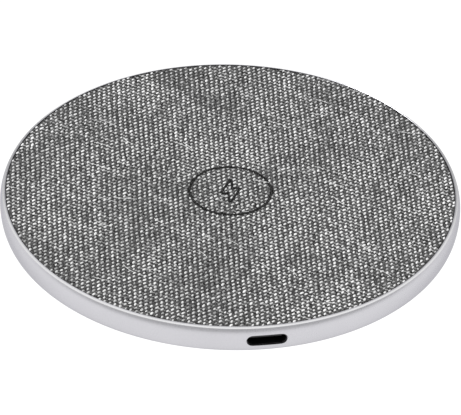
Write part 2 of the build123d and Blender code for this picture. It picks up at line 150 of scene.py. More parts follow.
RIB_ALONG = -0.43
RIB_TONE = 0.05
TINY = 1e-6                      # keeps a division by the radius clear of zero

# One seed gives several sets of random values; these number them.
NUDGE_DRAW, TONE_DRAW, SIZE_DRAW, HEIGHT_DRAW, TWIST_DRAW, SLIP_DRAW = range(6)

# ---- stray fibres ----
STRAY_SEED = 11
STRAY_DENSITY = 5000.0           # per square metre
STRAY_RADIUS = 0.055 * MM
STRAY_TURN = math.radians(-35)
STRAY_TURN_SPREAD = 0.5
STRAY_LENGTHS = (1.5 * MM, 5.0 * MM)
STRAY_TONE = 0.8
STRAY_BOW = ((-0.5, 0, -0.01), (0.05, 0.16, 0.012), (0.5, 0, -0.01))   # start, middle, end
STRAY_STEPS = 6
STRAY_SIDES = 5
STRAY_DISC_SIDES = 64

# ---- finishes ----
NOISE_LOW = 0.3                  # nearly all of a noise pattern lies between these two values
NOISE_HIGH = 0.7
METAL_COLOUR = (0.55, 0.545, 0.572)
METAL_EDGE = (0.62, 0.62, 0.64)
METAL_ROUGHNESS = 0.3
CUT_COLOUR = (0.8, 0.8, 0.81)
CUT_ROUGHNESS = 0.12
ROUGHNESS_SPREAD = 0.05          # roughness changes by this much either way over a fine grain
PATCH_SCALE = 90.0
PATCH_VARIATION = 0.12           # how much darker and lighter a moulded surface's patches are
CASING_COLOUR = (0.022, 0.022, 0.024)
FOOT_COLOUR = (0.075, 0.076, 0.08)
COPPER_COLOUR = (0.72, 0.33, 0.16)
BOARD_COLOUR = (0.01, 0.11, 0.05)
BLACK = (0.02, 0.02, 0.021)
LIGHT_STOPS = ((0.0, (0.25, 0.25, 0.25)), (0.42, (0.62, 0.62, 0.62)), (1.0, (0.9, 0.9, 0.9)))
DARK_STOPS = ((0.0, (0.025, 0.025, 0.025)), (0.5, (0.08, 0.08, 0.08)), (1.0, (0.4, 0.4, 0.4)))

# ---- room ----
FLOOR_SIZE = 6.0
FLOOR_COLOUR = (0.05, 0.05, 0.05)
FLOOR_GLOW = 1.02                # a lit table: its own brightness, and more of it in front of the pad
FLOOR_GLOW_FRONT = 1.1
FLOOR_FRONT = (-0.04, 0.06)
FLOOR_DROP = 0.1 * MM            # keeps the table clear of the foot's underside
# Sky brightness by height above the horizon, as the sine of the angle.
SKY = ((0.0, 0.5), (0.3, 0.6), (0.55, 0.9), (1.0, 1.0))
SKY_STRENGTH = 1.0
SIDE_LIGHT_PLACE = (-1.25, 0.15, 1.0)
SIDE_LIGHT_SIZE = 0.7
SIDE_LIGHT_WATTS = 16.0

# ---- camera ----
CAMERA_AZIMUTH = math.radians(-9.9)
CAMERA_ELEVATION = math.radians(35.45)
CAMERA_ROLL = math.radians(1.64)
CAMERA_DISTANCE = 1.0125
CAMERA_AIM_DROP = math.radians(0.2106)   # the lens points this far below the middle of the cloth
CAMERA_LENS = 364.4
CAMERA_REACH = (0.05, 20.0)      # nearest and farthest that the camera sees
SENSOR_WIDTH = 36.0


def view_axes():
    """Camera's place and its right, up and back directions."""
    back = Vector((
        math.sin(CAMERA_AZIMUTH) * math.cos(CAMERA_ELEVATION),
        -math.cos(CAMERA_AZIMUTH) * math.cos(CAMERA_ELEVATION),
        math.sin(CAMERA_ELEVATION),
    ))
    right = (-back).cross(Vector((0, 0, 1))).normalized()
    up = back.cross(right)
    rolled_right = math.cos(CAMERA_ROLL) * right + math.sin(CAMERA_ROLL) * up
    rolled_up = math.cos(CAMERA_ROLL) * up - math.sin(CAMERA_ROLL) * right
    place = Vector((0, 0, CLOTH_TOP)) + CAMERA_DISTANCE * back
    dropped_back = math.cos(CAMERA_AIM_DROP) * back + math.sin(CAMERA_AIM_DROP) * rolled_up
    dropped_up = math.cos(CAMERA_AIM_DROP) * rolled_up - math.sin(CAMERA_AIM_DROP) * back
    return place, rolled_right, dropped_up, dropped_back


def make_camera():
    data = bpy.data.cameras.new("camera")
    data.sensor_width = SENSOR_WIDTH
    data.lens = CAMERA_LENS
    data.clip_start, data.clip_end = CAMERA_REACH
    camera = bpy.data.objects.new("camera", data)
    bpy.context.scene.collection.objects.link(camera)
    place, right, up, back = view_axes()
    camera.matrix_world = Matrix((
        (right.x, up.x, back.x, place.x),
        (right.y, up.y, back.y, place.y),
        (right.z, up.z, back.z, place.z),
        (0, 0, 0, 1),
    ))
    bpy.context.scene.camera = camera


def link(name, mesh):
    """Puts a finished mesh in the scene at the origin."""
    piece = bpy.data.objects.new(name, mesh)
    bpy.context.scene.collection.objects.link(piece)
    return piece


def paint(piece, material):
    piece.data.materials.clear()
    piece.data.materials.append(material)


def finish_piece(piece, slot_name, *nodes):
    """Every finished piece rides on the one body and stands for its CAD nodes, which it hides."""
    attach(piece, "root")
    if nodes:
        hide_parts(*nodes)


# ---- materials ----
def shade(colour, factor):
    return tuple(channel * factor for channel in colour)


def colour_ramp(tree, value, stops):
    """Colours by value; each stop is (place, colour)."""
    node = tree.nodes.new("ShaderNodeValToRGB")
    elements = node.color_ramp.elements
    while len(elements) < len(stops):
        elements.new(1.0)
    for element, (place, colour) in zip(elements, stops):
        element.position = place
        element.color = (*colour, 1.0)
    tree.links.new(value, node.inputs["Fac"])
    return node.outputs["Color"]


class Finish:
    """One procedural material: a Principled shader with patterns on Object coordinates."""

    def __init__(self, name, colour, roughness, metallic=0.0):
        self.material = bpy.data.materials.new(name)
        self.material.use_nodes = True
        self.nodes = self.material.node_tree.nodes
        self.links = self.material.node_tree.links
        self.shader = self.nodes["Principled BSDF"]
        self.shader.inputs["Base Color"].default_value = (*colour, 1.0)
        self.shader.inputs["Roughness"].default_value = roughness
        self.shader.inputs["Metallic"].default_value = metallic
        self.coords = self.nodes.new("ShaderNodeTexCoord").outputs["Object"]

    def noise(self, scale, detail=2.0, roughness=0.5, coords=None):
        node = self.nodes.new("ShaderNodeTexNoise")
        node.inputs["Scale"].default_value = scale
        node.inputs["Detail"].default_value = detail
        node.inputs["Roughness"].default_value = roughness
        self.links.new(coords or self.coords, node.inputs["Vector"])
        return node.outputs["Fac"]

    def cells(self, scale):
        node = self.nodes.new("ShaderNodeTexVoronoi")
        node.inputs["Scale"].default_value = scale
        self.links.new(self.coords, node.inputs["Vector"])
        return node.outputs["Distance"]

    def stretched(self, scale, turn=0.0):
        """Object coordinates scaled by different amounts along each axis, for grain with a direction."""
        node = self.nodes.new("ShaderNodeMapping")
        node.inputs["Scale"].default_value = scale
        node.inputs["Rotation"].default_value = (0, 0, turn)
        self.links.new(self.coords, node.inputs["Vector"])
        return node.outputs["Vector"]

    def rings(self, scale):
        """Fine circles about the piece's axis, as a lathe leaves."""
        node = self.nodes.new("ShaderNodeTexWave")
        node.wave_type = "RINGS"
        node.rings_direction = "Z"
        node.inputs["Scale"].default_value = scale
        node.inputs["Distortion"].default_value = 0.4
        self.links.new(self.coords, node.inputs["Vector"])
        return node.outputs["Fac"]

    def bands(self, scale, direction):
        node = self.nodes.new("ShaderNodeTexWave")
        node.bands_direction = direction
        node.inputs["Scale"].default_value = scale
        self.links.new(self.coords, node.inputs["Vector"])
        return node.outputs["Fac"]

    def attribute(self, name):
        node = self.nodes.new("ShaderNodeAttribute")
        node.attribute_name = name
        return node.outputs["Fac"]

    def maths(self, operation, first, second):
        node = self.nodes.new("ShaderNodeMath")
        node.operation = operation
        for socket, value in zip(node.inputs, (first, second)):
            if isinstance(value, (int, float)):
                socket.default_value = value
            else:
                self.links.new(value, socket)
        return node.outputs[0]

    def spread(self, value, low, high, out_low, out_high):
        node = self.nodes.new("ShaderNodeMapRange")
        labels = ("From Min", "From Max", "To Min", "To Max")
        for label, number in zip(labels, (low, high, out_low, out_high)):
            node.inputs[label].default_value = number
        self.links.new(value, node.inputs["Value"])
        return node.outputs["Result"]

    def from_noise(self, value, out_low, out_high):
        """The whole run of a noise pattern spread over other values."""
        return self.spread(value, NOISE_LOW, NOISE_HIGH, out_low, out_high)

    def colours(self, value, *stops):
        """Base colour by value; each stop is (place, colour)."""
        colour = colour_ramp(self.material.node_tree, value, stops)
        self.links.new(colour, self.shader.inputs["Base Color"])

    def mottle(self, value, colour, darkest, palest):
        """Base colour made darker and paler by a noise pattern, as shares of the plain colour."""
        self.colours(value, (NOISE_LOW, shade(colour, darkest)), (NOISE_HIGH, shade(colour, palest)))

    def roughness(self, value):
        self.links.new(value, self.shader.inputs["Roughness"])

    def relief(self, value, depth):
        node = self.nodes.new("ShaderNodeBump")
        node.inputs["Distance"].default_value = depth
        self.links.new(value, node.inputs["Height"])
        self.links.new(node.outputs["Normal"], self.shader.inputs["Normal"])


def moulded(name, colour, roughness, grain_scale, grain_depth, metallic=0.0):
    """Plain moulded, pressed or plated surface: faint colour variation and a fine grain."""
    finish = Finish(name, colour, roughness, metallic)
    patches = finish.noise(PATCH_SCALE, 3.0)
    finish.mottle(patches, colour, 1 - PATCH_VARIATION, 1 + PATCH_VARIATION)
    grain = finish.noise(grain_scale)
    finish.roughness(finish.from_noise(grain, roughness - ROUGHNESS_SPREAD, roughness + ROUGHNESS_SPREAD))
    finish.relief(grain, grain_depth)
    return finish.material


def spark_grained_plastic():
    """Dark moulded casing with the even, pebbled grain of a spark-eroded mould."""
    finish = Finish("casing_plastic", CASING_COLOUR, roughness=0.5)
    pebbles = finish.cells(scale=3200)
    flow = finish.noise(scale=35, detail=3.0)
    finish.mottle(flow, CASING_COLOUR, darkest=0.85, palest=1.2)
    finish.roughness(finish.spread(pebbles, 0.0, 0.8, 0.42, 0.62))
    finish.relief(pebbles, depth=0.015 * MM)
    return finish.material


def silicone():
    """Grey silicone foot: matt, faintly mottled, with pale specks of lint."""
    finish = Finish("foot_rubber", FOOT_COLOUR, roughness=0.8)
    mottle = finish.noise(scale=180, detail=3.0)
    specks = finish.spread(finish.cells(scale=700), 0.03, 0.07, 0.55, 0.0)
    shown = finish.maths("ADD", finish.from_noise(mottle, 0.0, 0.4), specks)
    finish.colours(shown, (0.0, shade(FOOT_COLOUR, 0.8)), (1.0, shade(FOOT_COLOUR, 2.2)))
    finish.relief(finish.noise(scale=2600), depth=0.008 * MM)
    finish.shader.inputs["Sheen Weight"].default_value = 0.1
    return finish.material


def copper_wire():
    """Enamelled copper strand: fine twist lines along the spiral and patches of darker enamel."""
    finish = Finish("coil_copper", COPPER_COLOUR, roughness=0.3, metallic=1.0)
    enamel = finish.noise(scale=260, detail=3.0)
    finish.mottle(enamel, COPPER_COLOUR, darkest=0.8, palest=1.1)
    strands = finish.rings(scale=2600)
    finish.roughness(finish.spread(strands, 0.0, 1.0, 0.25, 0.45))
    finish.relief(strands, depth=0.02 * MM)
    return finish.material


def board_mask():
    """Green solder mask with the faint weave of the glass cloth under it."""
    finish = Finish("board_laminate", BOARD_COLOUR, roughness=0.35)
    weave = finish.maths("MULTIPLY", finish.bands(700, "X"), finish.bands(700, "Y"))
    finish.colours(weave, (0.0, shade(BOARD_COLOUR, 0.85)), (1.0, shade(BOARD_COLOUR, 1.25)))
    finish.relief(weave, depth=0.004 * MM)
    return finish.material


def satin_metal():
    """Bead-blasted, anodised aluminium."""
    finish = Finish("satin_aluminium", METAL_COLOUR, METAL_ROUGHNESS, metallic=1.0)
    finish.shader.inputs["Specular Tint"].default_value = (*METAL_EDGE, 1.0)
    blast = finish.noise(scale=9000)
    cloud = finish.noise(scale=60, detail=3.0)
    finish.mottle(cloud, METAL_COLOUR, darkest=0.97, palest=1.02)
    low = METAL_ROUGHNESS - ROUGHNESS_SPREAD
    high = METAL_ROUGHNESS + ROUGHNESS_SPREAD
    finish.roughness(finish.from_noise(blast, low, high))
    finish.relief(blast, depth=0.004 * MM)
    return finish.material


def cut_metal():
    """Bright cut of a diamond tool: near mirror, with very fine turning lines."""
    finish = Finish("bright_cut_aluminium", CUT_COLOUR, CUT_ROUGHNESS, metallic=1.0)
    lines = finish.rings(scale=4000)
    finish.roughness(finish.spread(lines, 0.0, 1.0, CUT_ROUGHNESS - 0.03, CUT_ROUGHNESS + 0.05))
    finish.relief(lines, depth=0.0015 * MM)
    return finish.material


def heather(finish):
    """Soft light and dark patches, 10 to 20 mm across, with finer mottling inside them."""
    broad = finish.noise(scale=62, roughness=0.55)
    fine = finish.noise(scale=330, roughness=0.6)
    return finish.maths("ADD", finish.from_noise(broad, -0.5, 0.5), finish.from_noise(fine, -0.22, 0.22))


def yarn(name, stops, heather_share):
    """Yarn of the floats: each float has its own tone, and whole patches are lighter or darker."""
    finish = Finish(name, stops[1][1], roughness=0.85)
    patches = finish.maths("MULTIPLY", heather(finish), heather_share)
    mixed = finish.maths("ADD", finish.attribute("tone"), patches)
    strands = finish.noise(1.0, coords=finish.stretched((7000, 1700, 3000), -LIGHT_TURN))
    mixed = finish.maths("ADD", mixed, finish.from_noise(strands, -0.28, 0.28))
    finish.colours(mixed, *stops)
    finish.relief(strands, depth=0.01 * MM)
    finish.shader.inputs["Specular IOR Level"].default_value = 0.15
    finish.shader.inputs["Sheen Weight"].default_value = 0.15
    finish.shader.inputs["Sheen Roughness"].default_value = 0.5
    return finish.material


def cloth_ground_and_gap_shade():
    """The dark underside of the weave, seen between the floats, with painted shade of the gaps that takes
    it down to near black.
    """
    finish = Finish("cloth_ground_and_gap_shade", (0.035, 0.035, 0.037), roughness=0.9)
    threads = finish.noise(1.0, coords=finish.stretched((5200, 1400, 1400), -WEAVE_ANGLE))
    # painted shade: the ramp's dark end is darker than any yarn, for the shaded gaps between the floats
    finish.colours(threads, (0.35, (0.006, 0.006, 0.006)), (0.68, (0.13, 0.13, 0.13)))
    finish.relief(threads, depth=0.03 * MM)
    finish.shader.inputs["Specular IOR Level"].default_value = 0.1
    return finish.material


def pressed_yarn_and_edge_shade():
    """Yarn fused flat by the mark's hot die; painted shade makes it darkest along both edges of the line.
    """
    finish = Finish("pressed_yarn_and_edge_shade", (0.02, 0.02, 0.02), roughness=0.9)
    threads = finish.noise(1.0, detail=3.0, coords=finish.stretched((3800, 1500, 1500), -WEAVE_ANGLE))
    # painted shade: as the tone falls towards the line's edges, the colour goes to near black
    middle = finish.spread(finish.attribute("tone"), 0.45, 0.95, 0.0, 0.15)
    shown = finish.maths("MULTIPLY", middle, finish.from_noise(threads, 0.0, 2.0))
    finish.colours(shown, (0.0, (0.003, 0.003, 0.003)), (1.0, (0.35, 0.35, 0.35)))
    finish.relief(threads, depth=0.02 * MM)
    finish.shader.inputs["Specular IOR Level"].default_value = 0.1
    return finish.material


# ---- cloth ----
def bolt_corners():
    """Corners of the bolt inside its groove, in order round it."""
    tip = BOLT_HEIGHT / 2
    half = BOLT_WIDTH / 2
    right = [(BOLT_TIP_SHIFT, tip), (BOLT_STEP_SHIFT, BOLT_STEP), (half, BOLT_STEP)]
    return right + [(-x, -y) for x, y in right]


def bolt_line():
    """Middle of the groove round the bolt: straight beside each edge, rounded at the outer corners."""
    corners = [Vector(corner) for corner in bolt_corners()]
    reach = BOLT_LINE / 2
    line = []
    for index, corner in enumerate(corners):
        before = (corner - corners[index - 1]).normalized()
        after = (corners[(index + 1) % len(corners)] - corner).normalized()
        out_before = Vector((-before.y, before.x))
        out_after = Vector((-after.y, after.x))
        if before.x * after.y - before.y * after.x > 0:
            line.append(corner + (out_before + out_after) * reach / (1 + out_before.dot(out_after)))
            continue
        for step in range(CORNER_STEPS + 1):
            mixed = out_before.lerp(out_after, step / CORNER_STEPS)
            line.append(corner + mixed.normalized() * reach)
    return line


def ring_line():
    """Middle of the mark's ring line."""
    turns = [2 * math.pi * step / MARK_STEPS for step in range(MARK_STEPS)]
    return [Vector((MARK_MIDDLE * math.cos(turn), MARK_MIDDLE * math.sin(turn))) for turn in turns]


def mark_lines():
    """Mesh of the mark's two lines, edges only: the ring and the groove round the bolt."""
    points = []
    edges = []
    for line in (ring_line(), bolt_line()):
        first = len(points)
        count = len(line)
        points += [(point.x, point.y, 0) for point in line]
        edges += [(first + step, first + (step + 1) % count) for step in range(count)]
    mesh = bpy.data.meshes.new("mark_lines")
    mesh.from_pydata(points, edges, [])
    return mesh


def swept_faces(first, steps, count):
    """Faces of a closed section carried once round a closed path; points come section by section."""
    total = steps * count
    faces = []
    for start in range(0, total, count):
        here = first + start
        out = first + (start + count) % total
        for index in range(count):
            following = (index + 1) % count
            faces.append((here + index, here + following, out + following, out + index))
    return faces


def pressed_lines(material):
    """The mark itself: closed strips of fused yarn along both lines, dished in the middle."""
    points = []
    painted_shade_tones = []
    faces = []
    for line, width in ((ring_line(), MARK_LINE), (bolt_line()[::-1], BOLT_LINE)):
        edge = LINE_FILL * width / 2
        section = [(-edge, -LINE_BODY, 0.0), (edge, -LINE_BODY, 0.0)]
        # each section point's third value is its tone: 1 in the line's middle, 0 at its edges; the
        # material paints shade from it along the edges
        for across in (1, 0.5, 0, -0.5, -1):
            section.append((edge * across, -LINE_DIP * (1 - across**2), 1 - abs(across)))
        strip = swept_faces(len(points), len(line), len(section))
        faces += [(face[0], *face[:0:-1]) for face in strip]   # turned over, to face outwards
        for index, point in enumerate(line):
            before = (point - line[index - 1]).normalized()
            after = (line[(index + 1) % len(line)] - point).normalized()
            out = Vector((before.y + after.y, -before.x - after.x))
            out = 2 * out / out.length_squared
            for across, drop, tone in section:
                spot = point + out * across
                points.append((spot.x, spot.y, CLOTH_TOP - LINE_SINK + drop))
                painted_shade_tones.append(tone)
    mesh = bpy.data.meshes.new("pressed_mark")
    mesh.from_pydata(points, [], faces)
    # the tone attribute carries the painted shade of the line's edges
    stored = mesh.attributes.new("tone", "FLOAT", "POINT")
    stored.data.foreach_set("value", painted_shade_tones)
    piece = link("pressed_mark", mesh)
    paint(piece, material)
    return piece


def distance_to_line(x, y, line):
    """Distance from many points to a closed line, all in the plane of the cloth."""
    nearest = np.full(x.shape, np.inf)
    for index, end in enumerate(line):
        start = line[index - 1]
        run = end - start
        along = ((x - start.x) * run.x + (y - start.y) * run.y) / run.length_squared
        along = np.clip(along, 0, 1)
        gap = np.hypot(x - start.x - along * run.x, y - start.y - along * run.y)
        nearest = np.minimum(nearest, gap)
    return nearest


def smooth_step(value):
    value = np.clip(value, 0, 1)
    return value * value * (3 - 2 * value)


def edge_drop(radius):
    """How far the turned-down edge lies below the flat top."""
    rolled = np.clip((radius - (CLOTH_RADIUS - EDGE_ROLL)) / EDGE_ROLL, 0, 1)
    return EDGE_DROP * (1 - np.sqrt(1 - rolled**2))


def cloth_radii():
    """Rings of the cloth mesh: close together over the mark and the turned-down edge."""
    fine = np.arange(1, int(MARK_REGION / CLOTH_FINE) + 1) * CLOTH_FINE
    middle = np.linspace(fine[-1], CLOTH_RADIUS - EDGE_ROLL, CLOTH_MIDDLE_RINGS + 1)[1:]
    rolled = CLOTH_RADIUS - EDGE_ROLL * (1 - np.sin(np.linspace(0, math.pi / 2, EDGE_RINGS + 1)[1:]))
    return np.concatenate([fine, middle, rolled])


def make_cloth(material):
    """The woven cover's ground: a thin closed disc with the mark pressed in and its edge turned down."""
    radii = cloth_radii()
    turns = np.arange(CLOTH_SEGMENTS) * 2 * math.pi / CLOTH_SEGMENTS
    radius, turn = np.meshgrid(radii, turns, indexing="ij")
    x = radius * np.cos(turn)
    y = radius * np.sin(turn)
    ring_gap = np.abs(radius - MARK_MIDDLE)
    bolt_gap = distance_to_line(x, y, bolt_line())
    pressed = 1 - smooth_step((ring_gap - MARK_LINE / 2) / GROOVE_SLOPE + 0.5)
    pressed = np.maximum(pressed, 1 - smooth_step((bolt_gap - BOLT_LINE / 2) / GROOVE_SLOPE + 0.5))
    z = CLOTH_TOP - FLOAT_HEIGHT - edge_drop(radius) - MARK_DEPTH * pressed
    points = [tuple(point) for point in np.stack([x, y, z], axis=-1).reshape(-1, 3)]
    points += [(CLOTH_RADIUS * math.cos(a), CLOTH_RADIUS * math.sin(a), CLOTH_BOTTOM) for a in turns]
    points += [(0, 0, CLOTH_TOP - FLOAT_HEIGHT), (0, 0, CLOTH_BOTTOM)]
    middle_top = len(points) - 2
    middle_bottom = len(points) - 1
    under = len(radii) * CLOTH_SEGMENTS
    faces = []
    for step in range(CLOTH_SEGMENTS):
        following = (step + 1) % CLOTH_SEGMENTS
        faces.append((middle_top, step, following))
        for here in range(0, under, CLOTH_SEGMENTS):
            out = here + CLOTH_SEGMENTS
            faces.append((here + step, out + step, out + following, here + following))
        faces.append((under + following, under + step, middle_bottom))
    mesh = bpy.data.meshes.new("woven_cloth")
    mesh.from_pydata(points, [], faces)
    mesh.shade_smooth()
    cloth = link("woven_cloth", mesh)
    paint(cloth, material)
    return cloth


# ---- Geometry Nodes ----
class Rule:
    """A Geometry Nodes tree with named inputs, run once on an object to make a plain mesh."""

    def __init__(self, name):
        self.name = name
        self.tree = bpy.data.node_groups.new(name, "GeometryNodeTree")
        self.tree.interface.new_socket("Geometry", in_out="INPUT", socket_type="NodeSocketGeometry")
        self.tree.interface.new_socket("Geometry", in_out="OUTPUT", socket_type="NodeSocketGeometry")
        self.source = self.tree.nodes.new("NodeGroupInput")
        self.sink = self.tree.nodes.new("NodeGroupOutput")
        self.values = {}

    def size(self, label, value):
        """A named input; whole numbers make an integer socket."""
        kind = "NodeSocketInt" if isinstance(value, int) else "NodeSocketFloat"
        socket = self.tree.interface.new_socket(label, in_out="INPUT", socket_type=kind)
        self.values[socket.identifier] = value
        return self.source.outputs[label]

    def node(self, kind, inputs=None, **settings):
        node = self.tree.nodes.new(kind)
        for key, value in settings.items():
            setattr(node, key, value)
        for key, value in (inputs or {}).items():
            self.feed(node.inputs[key], value)
        return node

    def feed(self, socket, value):
        if isinstance(value, bpy.types.NodeSocket):
            self.tree.links.new(value, socket)
        else:
            socket.default_value = value

    def maths(self, operation, first, second=0.0):
        node = self.node("ShaderNodeMath", operation=operation)
        for socket, value in zip(node.inputs, (first, second)):
            self.feed(socket, value)
        return node.outputs[0]

    def vector(self, x, y, z=0.0):
        return self.node("ShaderNodeCombineXYZ", {"X": x, "Y": y, "Z": z}).outputs[0]

    def parts(self, vector):
        return self.node("ShaderNodeSeparateXYZ", {"Vector": vector}).outputs

    def place(self):
        return self.node("GeometryNodeInputPosition").outputs[0]

    def random(self, low, high, seed, draw):
        """Random values; each numbered draw of one seed is a set of its own."""
        node = self.node("FunctionNodeRandomValue", data_type="FLOAT")
        self.feed(node.inputs[2], low)
        self.feed(node.inputs[3], high)
        self.feed(node.inputs["Seed"], self.maths("ADD", seed, draw))
        return node.outputs[1]

    def noise(self, vector, scale, detail=1.0):
        inputs = {"Vector": vector, "Scale": scale, "Detail": detail}
        return self.node("ShaderNodeTexNoise", inputs).outputs[0]

    def spread(self, value, low, high, out_low, out_high, smooth=False):
        node = self.node("ShaderNodeMapRange")
        node.interpolation_type = "SMOOTHSTEP" if smooth else "LINEAR"
        for socket, number in zip(node.inputs, (value, low, high, out_low, out_high)):
            self.feed(socket, number)
        return node.outputs[0]

    def move(self, geometry, position):
        node = self.node("GeometryNodeSetPosition", {"Geometry": geometry, "Position": position})
        return node.outputs[0]

    def length(self, vector):
        return self.node("ShaderNodeVectorMath", {0: vector}, operation="LENGTH").outputs["Value"]

    def remember(self, geometry, label, value):
        node = self.node("GeometryNodeStoreNamedAttribute", data_type="FLOAT", domain="POINT")
        node.inputs["Name"].default_value = label
        self.feed(node.inputs["Geometry"], geometry)
        self.feed(node.inputs["Value"], value)
        return node.outputs[0]

    def make(self, geometry, material, start=None):
        """Ends the tree, runs it on the starting mesh and returns the plain result as a piece."""
        coloured = self.node("GeometryNodeSetMaterial", {"Geometry": geometry, "Material": material})
        self.feed(self.sink.inputs[0], coloured.outputs[0])
        piece = link(self.name, start or bpy.data.meshes.new(self.name))
        modifier = piece.modifiers.new(self.name, "NODES")
        modifier.node_group = self.tree
        for identifier, value in self.values.items():
            modifier[identifier] = value
        evaluated = piece.evaluated_get(bpy.context.evaluated_depsgraph_get())
        mesh = bpy.data.meshes.new_from_object(evaluated)
        piece.modifiers.clear()
        piece.data = mesh
        mesh.name = self.name
        return piece


def weave_points(rule, seed, shift, mess_tone):
    """Middles of one yarn's floats: staggered columns, slightly uneven, each with its tone and reach."""
    column_pitch = rule.size("Column pitch", COLUMN_PITCH)
    float_pitch = rule.size("Float pitch", FLOAT_PITCH)
    half_columns = int(CLOTH_RADIUS / COLUMN_PITCH) + 2
    half_rows = int(CLOTH_RADIUS / FLOAT_PITCH) + 2
    columns = rule.size("Columns", 2 * half_columns + 1)
    rows = rule.size("Rows", 2 * half_rows + 1)
    weave_angle = rule.size("Weave angle", WEAVE_ANGLE)
    reach = rule.size("Outer radius", CLOTH_RADIUS - FLOAT_MARGIN)
    grid = rule.node("GeometryNodeMeshGrid", {
        "Size X": rule.maths("MULTIPLY", column_pitch, rule.maths("SUBTRACT", columns, 1)),
        "Size Y": rule.maths("MULTIPLY", float_pitch, rule.maths("SUBTRACT", rows, 1)),
        "Vertices X": columns,
        "Vertices Y": rows,
    })

    x, y, _ = rule.parts(rule.place())
    column = rule.maths("ROUND", rule.maths("DIVIDE", x, column_pitch))
    stagger = rule.maths("MULTIPLY", rule.maths("FLOORED_MODULO", column, 2.0), 0.5)
    row_shift = rule.maths("MULTIPLY", rule.maths("ADD", stagger, shift[1]), float_pitch)
    column_shift = rule.maths("MULTIPLY", column_pitch, shift[0])
    wander = rule.spread(rule.noise(rule.place(), WANDER_SCALE), NOISE_LOW, NOISE_HIGH, -WANDER, WANDER)
    across = rule.maths("ADD", x, rule.maths("MULTIPLY", y, -math.tan(WEAVE_SKEW)))
    across = rule.maths("ADD", rule.maths("ADD", across, column_shift), wander)
    along = rule.maths("ADD", y, row_shift)
    mess = rule.spread(rule.noise(rule.place(), MESS_SCALE, 2.0), *MESS_NOISE, *MESS)
    nudge = rule.maths("MULTIPLY", rule.random(-JITTER, JITTER, seed, NUDGE_DRAW), mess)
    slip = rule.maths("MULTIPLY", rule.random(-JITTER, JITTER, seed, SLIP_DRAW), mess)
    turned = rule.node("ShaderNodeVectorRotate", {
        "Vector": rule.vector(rule.maths("ADD", across, nudge), rule.maths("ADD", along, slip)),
        "Angle": weave_angle,
    }, rotation_type="Z_AXIS")

    streak = rule.noise(rule.vector(
        rule.maths("MULTIPLY", column, STREAK_ACROSS),
        rule.maths("MULTIPLY", y, STREAK_ALONG),
    ), 1.0, 2.0)
    rib_across = rule.maths("MULTIPLY", column, RIB_ACROSS)
    rib_along = rule.maths("MULTIPLY", rule.maths("DIVIDE", along, float_pitch), RIB_ALONG)
    ribs = rule.maths("ADD", rib_across, rib_along)
    rib_wave = rule.maths("SINE", rule.maths("MULTIPLY", ribs, 2 * math.pi))
    tone = rule.maths(
        "ADD",
        rule.random(-TONE_RANGE, TONE_RANGE, seed, TONE_DRAW),
        rule.spread(streak, NOISE_LOW, NOISE_HIGH, 0.5 - STREAK_TONE, 0.5 + STREAK_TONE),
    )
    tone = rule.maths("ADD", tone, rule.maths("MULTIPLY", rib_wave, RIB_TONE))
    messy_tone = rule.maths("MULTIPLY", rule.maths("SUBTRACT", mess, MESS[0]), mess_tone)
    toned = rule.remember(grid.outputs[0], "tone", rule.maths("ADD", tone, messy_tone))
    stretched = rule.remember(toned, "reach", rule.spread(streak, *STRETCH_SPAN, 1.0, STREAK_STRETCH))

    placed = rule.move(stretched, turned.outputs[0])
    outside = rule.node("FunctionNodeCompare", {
        0: rule.length(rule.place()),
        1: reach,
    }, operation="GREATER_THAN")
    kept = rule.node("GeometryNodeDeleteGeometry", {
        "Geometry": placed,
        "Selection": outside.outputs[0],
    }, domain="POINT")
    return rule.node("GeometryNodeMeshToPoints", {"Mesh": kept.outputs[0]}).outputs[0]


def laid_grains(rule, points, seed, grain, turn):
    """A low, round-ended grain on every point, lying along its yarn."""
    length = rule.size("Float length", grain[0])
    width = rule.size("Float width", grain[1])
    height = rule.size("Float height", grain[2])
    ball = rule.node("GeometryNodeMeshUVSphere", {
        "Segments": GRAIN_SIDES,
        "Rings": GRAIN_RINGS,
        "Radius": 1.0,
    })
    lying = rule.node("GeometryNodeTransform", {
        "Geometry": ball.outputs[0],
        "Rotation": (math.pi / 2, 0, 0),
    })
    stored = rule.node("GeometryNodeInputNamedAttribute", data_type="FLOAT")
    stored.inputs["Name"].default_value = "reach"
    share = rule.random(*GRAIN_SIZES, seed, SIZE_DRAW)
    scale = rule.vector(
        rule.maths("MULTIPLY", width, share),
        rule.maths("MULTIPLY", rule.maths("MULTIPLY", length, stored.outputs[0]), share),
        rule.maths("MULTIPLY", height, rule.random(*GRAIN_HEIGHTS, seed, HEIGHT_DRAW)),
    )
    twist = rule.random(turn - TURN_JITTER, turn + TURN_JITTER, seed, TWIST_DRAW)
    instances = rule.node("GeometryNodeInstanceOnPoints", {
        "Points": points,
        "Instance": lying.outputs[0],
        "Rotation": rule.vector(0.0, 0.0, twist),
        "Scale": scale,
    })
    return rule.node("GeometryNodeRealizeInstances", {"Geometry": instances.outputs[0]}).outputs[0]


